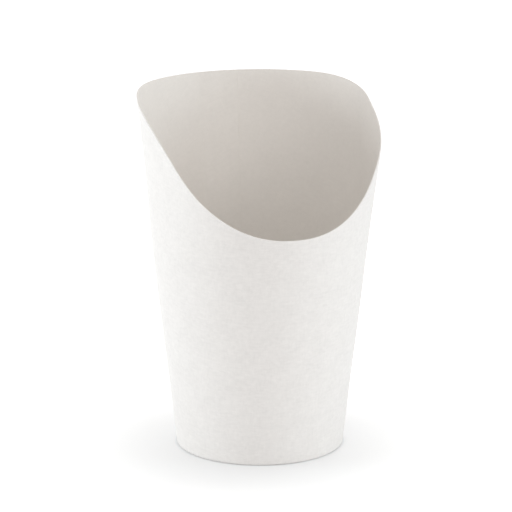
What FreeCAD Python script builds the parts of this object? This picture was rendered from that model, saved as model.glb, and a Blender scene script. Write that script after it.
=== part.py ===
"""Paper scoop cup: a tapered round cup with a low front, made of a rolled sidewall and a pressed-in base.

Millimetres. Z runs up the cup's axis from the surface it stands on. The low front of the scoop
faces -Y and the glued lap seam runs up the back, at +Y.
"""
import FreeCAD, Part
import math
import os

from FreeCAD import Vector

# ---- overall sizes ----
base_radius = 30.0  # outside of the sidewall at the standing fold
rim_radius = 44.8  # outside of the sidewall at the level part of the rim
back_height = 128.3  # level part of the rim, round the back
front_height = 83.6  # lowest point of the scoop

# ---- outline of the scoop ----
scoop_end_angle = 148.0  # degrees from the front to where the rim is level
floor_power = 2.34  # larger is flatter across the bottom of the scoop
shoulder_power = 4.26  # larger brings the shoulders forward

# ---- board ----
wall_board = 0.45
base_board = 0.40
glue_line = 0.03  # left between the base and the sidewall it is sealed to

# ---- lap seam ----
seam_angle = 90.0  # degrees from +X: the middle of the back
lap_angle = 14.0
ramp_angle = 6.0  # where the sheet climbs over its own inner end

# ---- base and hem ----
hem_height = 6.5  # the sidewall's lower edge, turned up inside the base's skirt
hem_headroom = 1.1  # from the top of the hem up to the underside of the floor
fold_bevel = 0.28  # eases both edges of the fold
fold_clearance = 0.12  # from the inside of the fold up to the skirt
inner_bend = 0.3  # bend between the floor and the skirt, on the underside

# ---- construction ----
trim_margin = 6.0  # sheet left above the rim for the die line to trim
overrun = 1.0  # how far a cutting shape passes what it cuts
rim_points = 72
bend_steps = 3
longest_arc = 60.0  # degrees of the cup in one curved face

# ---- values worked out from the sizes above ----
slope = (rim_radius - base_radius) / back_height
wall_angle = math.atan(slope)
lap_start = seam_angle - lap_angle / 2
lap_end = seam_angle + lap_angle / 2
front_angle = seam_angle - 180
inner_face = wall_board
skirt_outer = inner_face + glue_line
skirt_inner = skirt_outer + base_board
hem_outer = skirt_inner + glue_line
hem_inner = hem_outer + wall_board
skirt_bottom = wall_board + fold_clearance
floor_underside = hem_height + hem_headroom
floor_top = floor_underside + base_board
outer_bend = inner_bend + base_board


def at(radius, angle, z):
    """Point at a radius, an angle in degrees from +X and a height."""
    return Vector(radius * math.cos(math.radians(angle)), radius * math.sin(math.radians(angle)), z)


def outside_radius(z):
    """Outside of the sidewall at a height."""
    return base_radius + slope * z


def closed_loop(stations, z):
    """Closed wire through (angle, radius) stations: arcs where two radii agree, otherwise a line."""
    edges = []
    for (angle, radius), (next_angle, next_radius) in zip(stations, stations[1:] + stations[:1]):
        if abs(radius - next_radius) > 1e-9:
            edges.append(Part.makeLine(at(radius, angle, z), at(next_radius, next_angle, z)))
            continue
        turn = next_angle - angle
        if turn <= 0:
            turn += 360
        count = math.ceil(turn / longest_arc)
        for i in range(count):
            start = angle + turn * i / count
            end = angle + turn * (i + 1) / count
            middle = (start + end) / 2
            arc = Part.Arc(at(radius, start, z), at(radius, middle, z), at(radius, end, z))
            edges.append(arc.toShape())
    return Part.Wire(edges)


def outer_loop(z, inset):
    """Outside of the rolled sheet, with the step down at the seam's outer edge."""
    radius = outside_radius(z) - inset
    return closed_loop(
        [
            (lap_end, radius - wall_board),
            (lap_end + ramp_angle, radius),
            (lap_end + 360, radius),
        ],
        z,
    )


def inner_loop(z, inset):
    """Inside of the rolled sheet, with the step at its hidden inner edge."""
    radius = outside_radius(z) - inset
    return closed_loop(
        [
            (lap_end, radius - wall_board),
            (lap_end + ramp_angle, radius),
            (lap_start + 360, radius),
            (lap_start + 360, radius - wall_board),
        ],
        z,
    )


def pressed_loop(z, inset):
    """Follows the inside of the sheet over the lap, but eased on both sides as pressed board is."""
    radius = outside_radius(z) - inset
    return closed_loop(
        [
            (lap_end, radius - wall_board),
            (lap_end + ramp_angle, radius),
            (lap_start - ramp_angle + 360, radius),
            (lap_start + 360, radius - wall_board),
        ],
        z,
    )


def loft(loop, levels):
    """Solid through one kind of loop at (height, inset) levels, straight between them."""
    return Part.makeLoft([loop(z, inset) for z, inset in levels], True, True)


def rim_height(angle_from_front):
    """Height of the die-cut rim."""
    u = min(abs(angle_from_front) / scoop_end_angle, 1.0)
    rise = 1 - (1 - u**floor_power) ** shoulder_power
    return front_height + (back_height - front_height) * rise


def rim_wire(offset):
    """The rim line moved along the sheet's normal by an offset from its outside face."""
    points = []
    for i in range(rim_points):
        from_front = 360.0 * i / rim_points - 180
        z = rim_height(from_front)
        radius = outside_radius(z) + offset * math.cos(wall_angle)
        points.append(at(radius, front_angle + from_front, z - offset * math.sin(wall_angle)))
    curve = Part.BSplineCurve()
    curve.interpolate(points, PeriodicFlag=True)
    return Part.Wire([curve.toShape()])


def rim_trimmer():
    """Everything above the rim, with its lower face square to the sheet."""
    flare = outside_radius(back_height + trim_margin) - outside_radius(front_height)
    inner_edge = rim_wire(-2 * wall_board - overrun)
    outer_edge = rim_wire(flare + overrun)
    return Part.makeRuledSurface(inner_edge, outer_edge).extrude(Vector(0, 0, back_height))


def make_sidewall():
    """One rolled board with a lap seam, a fold to stand on and a hem turned up inside."""
    top = back_height + trim_margin
    outside = loft(outer_loop, [(0, fold_bevel), (fold_bevel, 0), (top, 0)])
    hollow = loft(inner_loop, [(wall_board, inner_face), (top + overrun, inner_face)])
    wall = outside.cut(hollow)
    hem = loft(pressed_loop, [(0, hem_outer), (hem_height, hem_outer)])
    recess = loft(
        pressed_loop,
        [
            (-overrun, hem_inner - fold_bevel),
            (0, hem_inner - fold_bevel),
            (fold_bevel, hem_inner),
            (hem_height + overrun, hem_inner),
        ],
    )
    return wall.fuse(hem).cut(recess).cut(rim_trimmer()).removeSplitter()


def bent_levels(bottom, top, inset, bend):
    """Levels up a skirt and round a bend of a given radius on to a floor."""
    levels = [(bottom, inset)]
    for step in range(bend_steps + 1):
        turn = math.pi / 2 * step / bend_steps
        levels.append((top - bend * (1 - math.sin(turn)), inset + bend * (1 - math.cos(turn))))
    return levels


def make_base():
    """Round board pressed into a shallow tray: a recessed floor with its skirt turned down."""
    outside = loft(pressed_loop, bent_levels(skirt_bottom, floor_top, skirt_outer, outer_bend))
    open_end = skirt_bottom - overrun
    inside = loft(pressed_loop, bent_levels(open_end, floor_underside, skirt_inner, inner_bend))
    return outside.cut(inside)


def write(node, shape):
    """One STEP file per node."""
    shape.exportStep("parts/" + node + ".step")


os.makedirs("parts", exist_ok=True)
write("sidewall", make_sidewall())
write("base", make_base())
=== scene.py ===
"""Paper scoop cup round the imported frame: a rolled board sidewall with a lap seam, and a pressed-in base.

Metres, +Z up the cup's axis. The low front of the scoop faces -Y and the lap seam is at +Y.
"""
import math
from collections import namedtuple

import bpy
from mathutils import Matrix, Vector, noise


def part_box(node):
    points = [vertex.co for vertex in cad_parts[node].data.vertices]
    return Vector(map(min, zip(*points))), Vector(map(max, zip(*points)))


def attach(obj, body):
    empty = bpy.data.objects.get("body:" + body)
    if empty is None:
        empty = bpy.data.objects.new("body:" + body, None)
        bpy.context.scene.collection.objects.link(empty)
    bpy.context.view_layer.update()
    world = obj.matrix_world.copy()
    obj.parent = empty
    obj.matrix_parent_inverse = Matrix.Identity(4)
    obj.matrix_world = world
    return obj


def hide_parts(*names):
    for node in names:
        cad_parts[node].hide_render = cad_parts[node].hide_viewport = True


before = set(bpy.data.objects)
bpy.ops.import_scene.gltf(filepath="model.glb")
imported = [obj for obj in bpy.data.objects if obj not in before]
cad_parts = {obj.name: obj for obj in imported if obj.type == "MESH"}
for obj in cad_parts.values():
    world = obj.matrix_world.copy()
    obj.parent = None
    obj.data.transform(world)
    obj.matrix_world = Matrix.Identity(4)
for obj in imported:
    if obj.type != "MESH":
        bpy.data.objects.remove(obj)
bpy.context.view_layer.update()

wall_low, wall_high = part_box("sidewall")
base_low, base_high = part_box("base")

MM = 0.001
WHOLE_TURN = 360.0

# ---- driving dimensions, in metres and degrees ----
BASE_RADIUS = 30.0 * MM  # outside of the sidewall at the standing fold
RIM_RADIUS = wall_high.y  # outside of the sidewall at the level part of the rim
BACK_HEIGHT = 128.3 * MM
FRONT_HEIGHT = 83.6 * MM
SCOOP_END_ANGLE = 148.0
FLOOR_POWER = 2.34
SHOULDER_POWER = 4.26
WALL_BOARD = 0.45 * MM
BASE_BOARD = 0.40 * MM
GLUE_LINE = 0.03 * MM
FRONT_ANGLE = -90.0
SEAM_ANGLE = 90.0
LAP_ANGLE = 14.0
RAMP_ANGLE = 6.0
HEM_HEIGHT = 6.5 * MM
FLOOR_TOP = base_high.z
SKIRT_BOTTOM = base_low.z

SLOPE = (RIM_RADIUS - BASE_RADIUS) / BACK_HEIGHT
WALL_TILT = math.atan(SLOPE)
APEX_DEPTH = BASE_RADIUS / SLOPE  # from the standing plane down to the point of the wall's cone
LAP_START = SEAM_ANGLE - LAP_ANGLE / 2
LAP_END = SEAM_ANGLE + LAP_ANGLE / 2

# ---- finish of the board ----
CUT_ROUND = 0.09 * MM  # worn corner of a die-cut edge
CUT_STEPS = (0.0, 0.12, 0.45, 1.0)  # where the rounding has stations, as shares of it
SHRINK = 0.08 * MM  # how far the real wall lies inside the nominal cone
FLUTES = 154  # ribs that the sealing tool leaves in the hem
FLUTE_DEPTH = 0.07 * MM

# ---- how the board strays from the nominal cone: in millimetres, at degrees from the front ----
LOBE_LEANS = ((0.48, 71, 10.5), (-0.6, 93, 8), (-3.24, -76.5, 27.6))  # how far out, where, how wide
FREE_HEIGHTS = (70 * MM, 110 * MM)  # between these the lean grows to its full size
WAVES = ((0.10, 1.7), (0.03, 5.0))  # depth of the waviness, and how closely it is packed
WAVE_STRETCH = 60 * MM  # height in which it changes as much as over a radian round the cup
BELLY = 0.18
BELLY_PLACE = (50 * MM, 24 * MM)  # height and half width
SETTLED_HEIGHTS = (9 * MM, 30 * MM)  # below the first the base holds the wall true
KNOCK = 0.10  # the small knock in the standing fold
KNOCK_SIDE = (-23.5, 2.6)
KNOCK_HEIGHT = (4.5 * MM, 2.6 * MM)

# ---- mesh density ----
SHEET_COLUMNS = 616
WALL_ROWS = 44
WALL_ROW_POWER = 1.35  # above 1 the rows lie closer towards the fold
FOLD_ROWS = 9
HEM_ROWS = 8
BASE_COLUMNS = 480
FLOOR_ROWS = 24
BEND_ROWS = 8
SKIRT_ROWS = 5


def smoothstep(low, high, x):
    """0 below low, 1 above high and smooth between."""
    u = min(max((x - low) / (high - low), 0.0), 1.0)
    return u * u * (3 - 2 * u)


def hump(x, middle, width):
    """A smooth bump of height 1."""
    return math.exp(-(((x - middle) / width) ** 2))


def from_front(angle):
    """Angle from the middle of the scoop, -180 to 180, positive towards +X."""
    return (angle - FRONT_ANGLE + WHOLE_TURN / 2) % WHOLE_TURN - WHOLE_TURN / 2


def around(angle):
    """Unit vector across the cup at an angle."""
    turn = math.radians(angle)
    return Vector((math.cos(turn), math.sin(turn), 0.0))


def outside_radius(z):
    """Outside of the nominal sidewall at a height."""
    return BASE_RADIUS + SLOPE * z


def rim_height(angle):
    """Height of the die-cut rim."""
    u = min(abs(from_front(angle)) / SCOOP_END_ANGLE, 1.0)
    rise = 1 - (1 - u**FLOOR_POWER) ** SHOULDER_POWER
    return FRONT_HEIGHT + (BACK_HEIGHT - FRONT_HEIGHT) * rise


def spring(angle, z):
    """How far the board stands off the nominal cone: the free lobes beside the scoop move most."""
    side = from_front(angle)
    lean = sum(out * hump(side, middle, width) for out, middle, width in LOBE_LEANS)
    free = smoothstep(*FREE_HEIGHTS, z)
    place = around(angle) + Vector((0, 0, z / WAVE_STRETCH))
    wave = sum(depth * noise.noise(place * density) for depth, density in WAVES)
    belly = BELLY * hump(z, *BELLY_PLACE)
    settled = smoothstep(*SETTLED_HEIGHTS, z)
    knock = KNOCK * hump(side, *KNOCK_SIDE) * hump(z, *KNOCK_HEIGHT)
    return (free * lean + settled * (wave + belly) - knock) * MM - settled * SHRINK


# ---- boards as thick sheets ----
# One place on the middle of a board: radius and z, the direction its outside faces, how far it is
# from a cut edge, how far along the flat blank it lies, and how deep its outside is pressed in.
Station = namedtuple("Station", "radius z face_radius face_z edge flat pressed")
# One upright cut through a board: its angle round the cup and on the flat blank, its stations,
# and how far it is from a cut end.
Column = namedtuple("Column", "angle flat_turn stations end")

OUTSIDE, INSIDE, CUT = 0, 1, 2  # material slots of a board
BLANK_MAP = "blank"


def edge_thinning(distance):
    """How much half a board's thickness loses near a rounded cut edge."""
    u = max(0.0, 1 - distance / CUT_ROUND)
    return CUT_ROUND * (1 - math.sqrt(1 - u * u))


def half_thicknesses(board, station, end):
    """From the board's middle to its outside and its inside."""
    half = board / 2 - edge_thinning(min(station.edge, end))
    return half - station.pressed, half


def add_strip(faces, slots, first, second, slot):
    """Quads between two lines of vertices: seen from in front, both run down and first is on the left."""
    for i in range(len(first) - 1):
        faces.append((first[i], first[i + 1], second[i + 1], second[i]))
        slots.append(slot)


def skin(board, columns, closed):
    """Vertices, places on the flat blank, faces and their slots of a board of one thickness.

    A closed board is a disc: its stations start at a small ring, which one face on each side closes.
    """
    vertices, flat, outer, inner = [], [], [], []
    for column in columns:
        across = around(column.angle)
        turn = Vector((math.sin(column.flat_turn), math.cos(column.flat_turn)))
        outer.append([])
        inner.append([])
        for s in column.stations:
            out, back = half_thicknesses(board, s, column.end)
            for line, offset in ((outer[-1], out), (inner[-1], -back)):
                line.append(len(vertices))
                place = across * (s.radius + s.face_radius * offset)
                place.z = s.z + s.face_z * offset
                vertices.append(place)
                flat.append(turn * s.flat)
    faces, slots = [], []
    count = len(columns)
    for j in range(count if closed else count - 1):
        k = (j + 1) % count
        add_strip(faces, slots, outer[j], outer[k], OUTSIDE)
        add_strip(faces, slots, inner[k], inner[j], INSIDE)
        add_strip(faces, slots, (outer[j][-1], inner[j][-1]), (outer[k][-1], inner[k][-1]), CUT)
        if not closed:
            add_strip(faces, slots, (outer[k][0], inner[k][0]), (outer[j][0], inner[j][0]), CUT)
    if closed:
        faces += [[line[0] for line in outer], [line[0] for line in reversed(inner)]]
        slots += [OUTSIDE, INSIDE]
    else:
        add_strip(faces, slots, inner[0], outer[0], CUT)
        add_strip(faces, slots, outer[-1], inner[-1], CUT)
    return vertices, flat, faces, slots


def make_piece(name, skinned, materials):
    """A smooth mesh object whose UV map is the board laid flat, in metres."""
    vertices, flat, faces, slots = skinned
    mesh = bpy.data.meshes.new(name)
    mesh.from_pydata(vertices, [], faces)
    for material in materials:
        mesh.materials.append(material)
    mesh.polygons.foreach_set("material_index", slots)
    mesh.polygons.foreach_set("use_smooth", [True] * len(faces))
    blank = mesh.uv_layers.new(name=BLANK_MAP)
    for loop in mesh.loops:
        blank.uv[loop.index].vector = flat[loop.vertex_index]
    mesh.update()
    piece = bpy.data.objects.new(name, mesh)
    bpy.context.scene.collection.objects.link(piece)
    shade = piece.modifiers.new("even shading", "WEIGHTED_NORMAL")
    shade.keep_sharp = True
    return piece


# ---- the rolled sidewall ----
HEM_INSET = WALL_BOARD + 2 * GLUE_LINE + BASE_BOARD + WALL_BOARD / 2  # of the hem's middle
FLUTE_START = (1.2 * MM, 2.0 * MM)  # heights between which the ribs deepen
FLUTE_END = (0.4 * MM, 1.0 * MM)  # and below the hem's edge
AWAY_FROM_EDGES = 1.0  # stands for any distance larger than the rounding


def seam_layers(angle):
    """How far the sheet lies under its other end, and over it, at a rolled angle."""
    under = 1 - smoothstep(LAP_END, LAP_END + RAMP_ANGLE, angle)
    over = smoothstep(LAP_START - RAMP_ANGLE, LAP_START, angle - WHOLE_TURN)
    return under, over


def flutes(angle, z):
    """How deep the sealing tool has ribbed the hem."""
    phase = 2 * math.pi * FLUTES * (angle - LAP_START) / (WHOLE_TURN + LAP_ANGLE)
    ends = smoothstep(*FLUTE_START, z) * smoothstep(*FLUTE_END, HEM_HEIGHT - z)
    return FLUTE_DEPTH * ends * (0.5 - 0.5 * math.cos(phase))


def sheet_stations(angle):
    """From the rim down the wall, round the fold and up the hem."""
    under, over = seam_layers(angle)
    wall_inset = WALL_BOARD / 2 + (WALL_BOARD + GLUE_LINE / 2) * under
    hem_inset = HEM_INSET + WALL_BOARD * under + (2 * WALL_BOARD + GLUE_LINE) * over
    fold_radius = (hem_inset - wall_inset) / 2
    fold_z = WALL_BOARD / 2 + (WALL_BOARD + GLUE_LINE) * under + fold_radius
    cos_t, sin_t = math.cos(WALL_TILT), math.sin(WALL_TILT)
    rim_z = rim_height(angle) + wall_inset * sin_t
    rounding = [step * CUT_ROUND for step in CUT_STEPS]

    stations = []
    wall_z = [rim_z - step for step in rounding]
    shares = [(1 - i / WALL_ROWS) ** WALL_ROW_POWER for i in range(1, WALL_ROWS)]
    wall_z += [fold_z + (rim_z - fold_z) * share for share in shares]
    for z in wall_z:
        radius = outside_radius(z) - wall_inset + spring(angle, z)
        flat = (z + APEX_DEPTH) / cos_t
        stations.append(Station(radius, z, cos_t, -sin_t, (rim_z - z) / cos_t, flat, 0.0))
    middle = outside_radius(fold_z) - (wall_inset + hem_inset) / 2
    fold_flat = (fold_z + APEX_DEPTH) / cos_t
    for i in range(FOLD_ROWS):
        turn = math.pi * i / (FOLD_ROWS - 1)
        c, s = math.cos(turn), math.sin(turn)
        radius, z = middle + fold_radius * c, fold_z - fold_radius * s
        flat = fold_flat - fold_radius * turn
        stations.append(Station(radius, z, c, -s, AWAY_FROM_EDGES, flat, 0.0))
    hem_flat = fold_flat - fold_radius * math.pi
    hem_z = [fold_z + (HEM_HEIGHT - fold_z) * i / HEM_ROWS for i in range(1, HEM_ROWS)]
    hem_z += [HEM_HEIGHT - step for step in reversed(rounding)]
    for z in hem_z:
        radius = outside_radius(z) - hem_inset
        edge, flat = (HEM_HEIGHT - z) / cos_t, hem_flat - (z - fold_z) / cos_t
        stations.append(Station(radius, z, -cos_t, sin_t, edge, flat, flutes(angle, z)))
    return stations


def make_sidewall(materials):
    """The sheet from its hidden inner end, once round and over the lap to its outer end."""
    start, end = LAP_START, LAP_END + WHOLE_TURN
    arc = math.radians(1) * RIM_RADIUS  # along the rim, for one degree
    rounding = [step * CUT_ROUND / arc for step in CUT_STEPS]
    angles = [start + step for step in rounding]
    angles += [start + (end - start) * i / SHEET_COLUMNS for i in range(1, SHEET_COLUMNS)]
    angles += [end - step for step in reversed(rounding)]
    columns = []
    for angle in angles:
        flat_turn = math.radians(angle - WHOLE_TURN - FRONT_ANGLE) * math.sin(WALL_TILT)
        from_end = min(angle - start, end - angle) * arc
        columns.append(Column(angle, flat_turn, sheet_stations(angle), from_end))
    return make_piece("rolled_sidewall", skin(WALL_BOARD, columns, False), materials)


# ---- the pressed base ----
SKIRT_INSET = WALL_BOARD + GLUE_LINE + BASE_BOARD / 2  # of the skirt's middle
BEND_RADIUS = 0.75 * MM  # middle of the board, between floor and skirt
FLOOR_DISH = 0.25 * MM  # the floor bows down a little in the middle
FLOOR_CENTRE = 0.2 * MM  # radius of the ring in the middle that one face closes
PLEAT = 0.05 * MM  # gathers of the board round the bend
PLEAT_DENSITY = 26
PLEAT_START = 0.72  # where the gathers begin, as a share of the floor's radius


def base_stations(angle):
    """From the middle of the floor out, over the bend and down the skirt."""
    from_seam = WHOLE_TURN / 2 - abs(from_front(angle))
    lap = 1 - smoothstep(LAP_ANGLE / 2, LAP_ANGLE / 2 + RAMP_ANGLE, from_seam)
    inset = SKIRT_INSET + WALL_BOARD * lap
    cos_t, sin_t = math.cos(WALL_TILT), math.sin(WALL_TILT)
    floor_z = FLOOR_TOP - BASE_BOARD / 2
    bend_z = floor_z - BEND_RADIUS
    floor_radius = outside_radius(bend_z) - inset - BEND_RADIUS
    gather = PLEAT * noise.noise(around(angle) * PLEAT_DENSITY)

    stations = []
    for i in range(FLOOR_ROWS):
        u = i / FLOOR_ROWS
        radius = FLOOR_CENTRE + (floor_radius - FLOOR_CENTRE) * u
        z = floor_z - FLOOR_DISH * (1 - u * u) ** 2 - gather * smoothstep(PLEAT_START, 1.0, u)
        stations.append(Station(radius, z, 0.0, 1.0, AWAY_FROM_EDGES, radius, 0.0))
    for i in range(BEND_ROWS + 1):
        turn = math.pi / 2 * i / BEND_ROWS
        s, c = math.sin(turn), math.cos(turn)
        radius, z = floor_radius + BEND_RADIUS * s, bend_z + (BEND_RADIUS - gather) * c
        flat = floor_radius + BEND_RADIUS * turn
        stations.append(Station(radius, z, s, c, AWAY_FROM_EDGES, flat, 0.0))
    skirt_z = [bend_z + (SKIRT_BOTTOM - bend_z) * i / SKIRT_ROWS for i in range(1, SKIRT_ROWS)]
    skirt_z += [SKIRT_BOTTOM + step * CUT_ROUND for step in reversed(CUT_STEPS)]
    for z in skirt_z:
        flat = floor_radius + BEND_RADIUS * math.pi / 2 + (bend_z - z) / cos_t
        edge = (z - SKIRT_BOTTOM) / cos_t
        stations.append(Station(outside_radius(z) - inset, z, cos_t, -sin_t, edge, flat, 0.0))
    return stations


def make_base(materials):
    """A shallow tray of one board: floor, bend and skirt."""
    columns = []
    for j in range(BASE_COLUMNS):
        angle = WHOLE_TURN * j / BASE_COLUMNS
        columns.append(Column(angle, math.radians(angle), base_stations(angle), AWAY_FROM_EDGES))
    return make_piece("pressed_base", skin(BASE_BOARD, columns, True), materials)


# ---- materials ----
CLOUD_SIZE = 7 * MM  # cloudy formation of the board
FLOC_SIZE = 1.5 * MM
FIBRE_WIDTH = 0.7 * MM
FIBRE_STRETCH = 4  # length of a fibre in its widths
TOOTH_SIZE = 0.2 * MM  # finest grain of the coating
TORN_FIBRE_SIZE = 0.25 * MM
USUAL_NOISE = (0.3, 0.7)  # where most of a noise texture's values lie
ROUGHNESS_SPREAD = 0.05


class Nodes:
    """Short names for building a material's node tree."""

    def __init__(self, name):
        self.material = bpy.data.materials.new(name)
        self.material.use_nodes = True
        self.tree = self.material.node_tree
        self.shader = self.tree.nodes["Principled BSDF"]

    def add(self, kind, **settings):
        node = self.tree.nodes.new(kind)
        for key, value in settings.items():
            setattr(node, key, value)
        return node

    def link(self, source, target):
        self.tree.links.new(source, target)

    def noise(self, size, detail=2.0, roughness=0.5, long=(1, 1)):
        """Noise on the flat blank, with features of a size in metres, longer along it or across it."""
        mapping = self.add("ShaderNodeMapping")
        mapping.inputs["Scale"].default_value = (1 / long[0], 1 / long[1], 1)
        blank = self.add("ShaderNodeUVMap", uv_map=BLANK_MAP)
        self.link(blank.outputs["UV"], mapping.inputs["Vector"])
        texture = self.add("ShaderNodeTexNoise")
        texture.inputs["Scale"].default_value = 1 / size
        texture.inputs["Detail"].default_value = detail
        texture.inputs["Roughness"].default_value = roughness
        self.link(mapping.outputs["Vector"], texture.inputs["Vector"])
        return texture.outputs["Fac"]

    def spread(self, source, low, high):
        """Maps noise from its usual range to low to high."""
        return self.map_range(source, *USUAL_NOISE, low, high)

    def map_range(self, source, from_low, from_high, low, high, **settings):
        node = self.add("ShaderNodeMapRange", **settings)
        node.inputs["From Min"].default_value = from_low
        node.inputs["From Max"].default_value = from_high
        node.inputs["To Min"].default_value = low
        node.inputs["To Max"].default_value = high
        self.link(source, node.inputs["Value"])
        return node.outputs["Result"]

    def ramp(self, centre, near, far, low, high):
        """Goes smoothly from low to high between two distances from a centre."""
        place = self.add("ShaderNodeTexCoord")
        distance = self.add("ShaderNodeVectorMath", operation="DISTANCE")
        distance.inputs[1].default_value = centre
        self.link(place.outputs["Object"], distance.inputs[0])
        smooth = {"interpolation_type": "SMOOTHSTEP"}
        return self.map_range(distance.outputs["Value"], near, far, low, high, **smooth)

    def product(self, first, second):
        """Two values multiplied."""
        node = self.add("ShaderNodeMath", operation="MULTIPLY")
        self.link(first, node.inputs[0])
        self.link(second, node.inputs[1])
        return node.outputs[0]

    def blend(self, first, second, share):
        """Two values mixed, with a share of the second."""
        node = self.add("ShaderNodeMix", data_type="FLOAT")
        node.inputs["Factor"].default_value = share
        self.link(first, node.inputs["A"])
        self.link(second, node.inputs["B"])
        return node.outputs["Result"]

    def colour(self, dark, light, factor):
        """Sets the base colour between two values."""
        node = self.add("ShaderNodeMix", data_type="RGBA")
        node.inputs[6].default_value = (*dark, 1)
        node.inputs[7].default_value = (*light, 1)
        self.link(factor, node.inputs[0])
        self.link(node.outputs[2], self.shader.inputs["Base Color"])

    def bump(self, *layers):
        """Bumps on bumps, each a height, a depth in metres and a strength."""
        below = None
        for height, depth, strength in layers:
            node = self.add("ShaderNodeBump")
            node.inputs["Distance"].default_value = depth
            node.inputs["Strength"].default_value = strength
            self.link(height, node.inputs["Height"])
            if below is not None:
                self.link(below, node.inputs["Normal"])
            below = node.outputs["Normal"]
        self.link(below, self.shader.inputs["Normal"])


def scaled(colour, factor):
    return tuple(c * factor for c in colour)


def board_material(name, colour, roughness, specular, mottle):
    """Coated board: cloudy fibre formation, short crossing fibres and a fine tooth."""
    n = Nodes(name)
    clouds = n.noise(CLOUD_SIZE, detail=3, roughness=0.55)
    flocs = n.noise(FLOC_SIZE, detail=3, roughness=0.6)
    along = n.noise(FIBRE_WIDTH, long=(FIBRE_STRETCH, 1))
    across = n.noise(FIBRE_WIDTH, long=(1, FIBRE_STRETCH))
    tooth = n.noise(TOOTH_SIZE, detail=3, roughness=0.65)
    fibres = n.blend(along, across, 0.45)
    formation = n.blend(n.blend(clouds, flocs, 0.6), fibres, 0.45)
    n.colour(scaled(colour, 1 - mottle), scaled(colour, 1 + mottle), n.spread(formation, 0, 1))
    gloss = n.spread(flocs, roughness - ROUGHNESS_SPREAD, roughness + ROUGHNESS_SPREAD)
    n.link(gloss, n.shader.inputs["Roughness"])
    n.shader.inputs["Specular IOR Level"].default_value = specular
    n.bump((clouds, 0.10 * MM, 0.4), (fibres, 0.02 * MM, 0.5), (tooth, 0.008 * MM, 0.6))
    return n.material


def cut_edge_material(name, colour):
    """The bare core of the board where it is cut: matte, with fine torn fibres. Its colour, lighter than
    the coated faces, is partly a painted highlight.
    """
    n = Nodes(name)
    fibres = n.noise(TORN_FIBRE_SIZE, detail=4, roughness=0.7)
    n.colour(scaled(colour, 0.95), scaled(colour, 1.03), fibres)
    n.shader.inputs["Roughness"].default_value = 0.9
    n.shader.inputs["Specular IOR Level"].default_value = 0.2
    n.bump((fibres, 0.05 * MM, 0.7))
    return n.material


outside = board_material("board_outside", (0.893, 0.875, 0.857), 0.60, 0.30, 0.073)
# The inside is the same white board under a glossier coating; its colour, a little darker and warmer than
# the outside's, is painted shade with a warm cast.
inside = board_material("board_inside_painted_shade", (0.88, 0.855, 0.82), 0.48, 0.40, 0.04)
# the cut edge's lighter colour is partly a painted highlight along the rim
cut_edge = cut_edge_material("board_cut_edge", (0.93, 0.92, 0.90))

sidewall = make_sidewall([outside, inside, cut_edge])
base = make_base([inside, outside, cut_edge])

for piece, node, slot in ((sidewall, "sidewall", "sidewall_board"), (base, "base", "base_board")):
    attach(piece, "root")
    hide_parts(node)


# ---- camera ----
CAMERA_AZIMUTH = -17.82
CAMERA_ELEVATION = 14.31
CAMERA_DISTANCE = 0.970
AIM_HEIGHT = 68.7 * MM
AIM_LEFT = 1.4 * MM  # the cup stands a little right of the middle of the frame
VIEW_WIDTH = 182.9 * MM  # what the frame spans at the aimed point
SENSOR_WIDTH = 36.0


def direction(azimuth, elevation):
    """Unit vector from the object towards a viewer or lamp: azimuth 0 is in front, at -Y, 90 at +X."""
    a, e = math.radians(azimuth), math.radians(elevation)
    return Vector((math.sin(a) * math.cos(e), -math.cos(a) * math.cos(e), math.sin(e)))


def make_camera():
    back = direction(CAMERA_AZIMUTH, CAMERA_ELEVATION)
    right = Vector((0, 0, 1)).cross(back).normalized()
    data = bpy.data.cameras.new("camera")
    data.sensor_width = SENSOR_WIDTH
    data.lens = SENSOR_WIDTH * CAMERA_DISTANCE / VIEW_WIDTH
    camera = bpy.data.objects.new("camera", data)
    camera.location = Vector((0, 0, AIM_HEIGHT)) - right * AIM_LEFT + back * CAMERA_DISTANCE
    camera.rotation_euler = (-back).to_track_quat("-Z", "Y").to_euler()
    bpy.context.scene.collection.objects.link(camera)
    bpy.context.scene.camera = camera


# ---- light: azimuths are from the camera's ----
SIDE_ELEVATION, SIDE_DISTANCE, SIDE_SIZE = 7, 0.7, (0.4, 0.28)
SIDE_BOXES = (  # name, azimuth, level, colour
    ("left_box", -86, 0.365, (0.93, 1, 1.033)),
    ("front_right_box", 35, 0.116, (1, 0.985, 0.97)),
    ("right_box", 80, 0.192, (0.875, 1, 1.06)),
)
TOP_AZIMUTH, TOP_ELEVATION, TOP_DISTANCE, TOP_SIZE = 150, 82, 0.7, (0.5, 0.5)
TOP_LEVEL, TOP_COLOUR = 0.228, (1, 1, 1)
WORLD_LEVEL, WORLD_COLOUR = 0.62, (1, 0.958, 0.93)

FLOOR_HALF_WIDTH, FLOOR_COLOUR = 3.0, (0.875, 0.89, 0.90)
SHADOW_MIDDLE = (-6.5 * MM, -8.1 * MM, 0)  # middle of the painted shadow: the floor's lift is least a little in front of the cup
SHADOW_REACH = 134 * MM
SHADOW_LIFT, OPEN_LIFT = 0.08, 0.6  # how far the floor is lifted in the painted shadow's middle and beyond it
PAINTED_CONTACT_SHADE = (BASE_RADIUS - 0.6 * MM, BASE_RADIUS + 1.6 * MM)  # the lift fades out where the cup stands, which paints a darker contact line


def make_lamp(name, azimuth, elevation, distance, size, level, colour):
    """Soft box. A white surface that faces it gains about level."""
    data = bpy.data.lights.new(name, "AREA")
    data.shape = "RECTANGLE"
    data.size, data.size_y = size
    data.energy = level * math.pi**2 * distance**2
    data.color = colour
    lamp = bpy.data.objects.new(name, data)
    toward = direction(CAMERA_AZIMUTH + azimuth, elevation)
    lamp.location = Vector((0, 0, AIM_HEIGHT)) + toward * distance
    lamp.rotation_euler = (-toward).to_track_quat("-Z", "Y").to_euler()
    bpy.context.scene.collection.objects.link(lamp)


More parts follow.
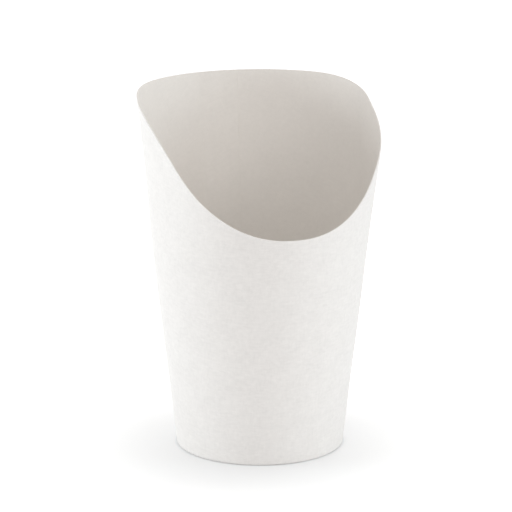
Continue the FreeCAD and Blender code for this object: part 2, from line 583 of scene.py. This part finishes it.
def seen_directly(tree):
    """1 where the camera looks, straight, by reflection or through glass."""
    path = tree.nodes.new("ShaderNodeLightPath")
    seen = path.outputs["Is Camera Ray"]
    for ray in ("Is Glossy Ray", "Is Transmission Ray"):
        either = tree.nodes.new("ShaderNodeMath")
        either.operation = "MAXIMUM"
        tree.links.new(seen, either.inputs[0])
        tree.links.new(path.outputs[ray], either.inputs[1])
        seen = either.outputs[0]
    return seen


def make_world(level, colour):
    """Even soft light with a white backdrop."""
    world = bpy.data.worlds.new("studio")
    world.use_nodes = True
    bpy.context.scene.world = world
    tree = world.node_tree
    light = tree.nodes["Background"]
    light.inputs["Color"].default_value = (*colour, 1)
    light.inputs["Strength"].default_value = level
    white = tree.nodes.new("ShaderNodeBackground")
    white.inputs["Color"].default_value = (1, 1, 1, 1)
    white.inputs["Strength"].default_value = 1.0
    mix = tree.nodes.new("ShaderNodeMixShader")
    tree.links.new(seen_directly(tree), mix.inputs[0])
    tree.links.new(light.outputs[0], mix.inputs[1])
    tree.links.new(white.outputs[0], mix.inputs[2])
    tree.links.new(mix.outputs[0], tree.nodes["World Output"].inputs["Surface"])


def make_floor(half_width, colour):
    """Plain white floor. Seen directly it is lifted to the backdrop's white and keeps the cup's shadow; the
    lift is least a little in front of the cup, a painted shadow, and fades out where the cup stands, a
    painted contact shade.
    """
    mesh = bpy.data.meshes.new("floor")
    w = half_width
    mesh.from_pydata([(-w, -w, 0), (w, -w, 0), (w, w, 0), (-w, w, 0)], [], [(0, 1, 2, 3)])
    n = Nodes("floor_paper")
    n.shader.inputs["Base Color"].default_value = (*colour, 1)
    n.shader.inputs["Roughness"].default_value = 0.9
    n.shader.inputs["Specular IOR Level"].default_value = 0.0
    # painted shadow: the lift is least a little in front of the cup, on top of the cup's own shadow
    shadow = n.ramp(SHADOW_MIDDLE, 0, SHADOW_REACH, SHADOW_LIFT, OPEN_LIFT)
    # painted contact shade: no lift in a narrow ring where the cup stands
    painted_contact_shade = n.ramp((0, 0, 0), *PAINTED_CONTACT_SHADE, 0, 1)
    glow = n.add("ShaderNodeEmission")
    n.link(n.product(n.product(shadow, painted_contact_shade), seen_directly(n.tree)), glow.inputs["Strength"])
    both = n.add("ShaderNodeAddShader")
    n.link(n.shader.outputs[0], both.inputs[0])
    n.link(glow.outputs[0], both.inputs[1])
    n.link(both.outputs[0], n.tree.nodes["Material Output"].inputs["Surface"])
    mesh.materials.append(n.material)
    floor = bpy.data.objects.new("floor", mesh)
    bpy.context.scene.collection.objects.link(floor)


make_camera()
make_world(WORLD_LEVEL, WORLD_COLOUR)
for name, azimuth, level, colour in SIDE_BOXES:
    make_lamp(name, azimuth, SIDE_ELEVATION, SIDE_DISTANCE, SIDE_SIZE, level, colour)
make_lamp("top_box", TOP_AZIMUTH, TOP_ELEVATION, TOP_DISTANCE, TOP_SIZE, TOP_LEVEL, TOP_COLOUR)
make_floor(FLOOR_HALF_WIDTH, FLOOR_COLOUR)

bpy.context.scene.view_settings.view_transform = "Standard"
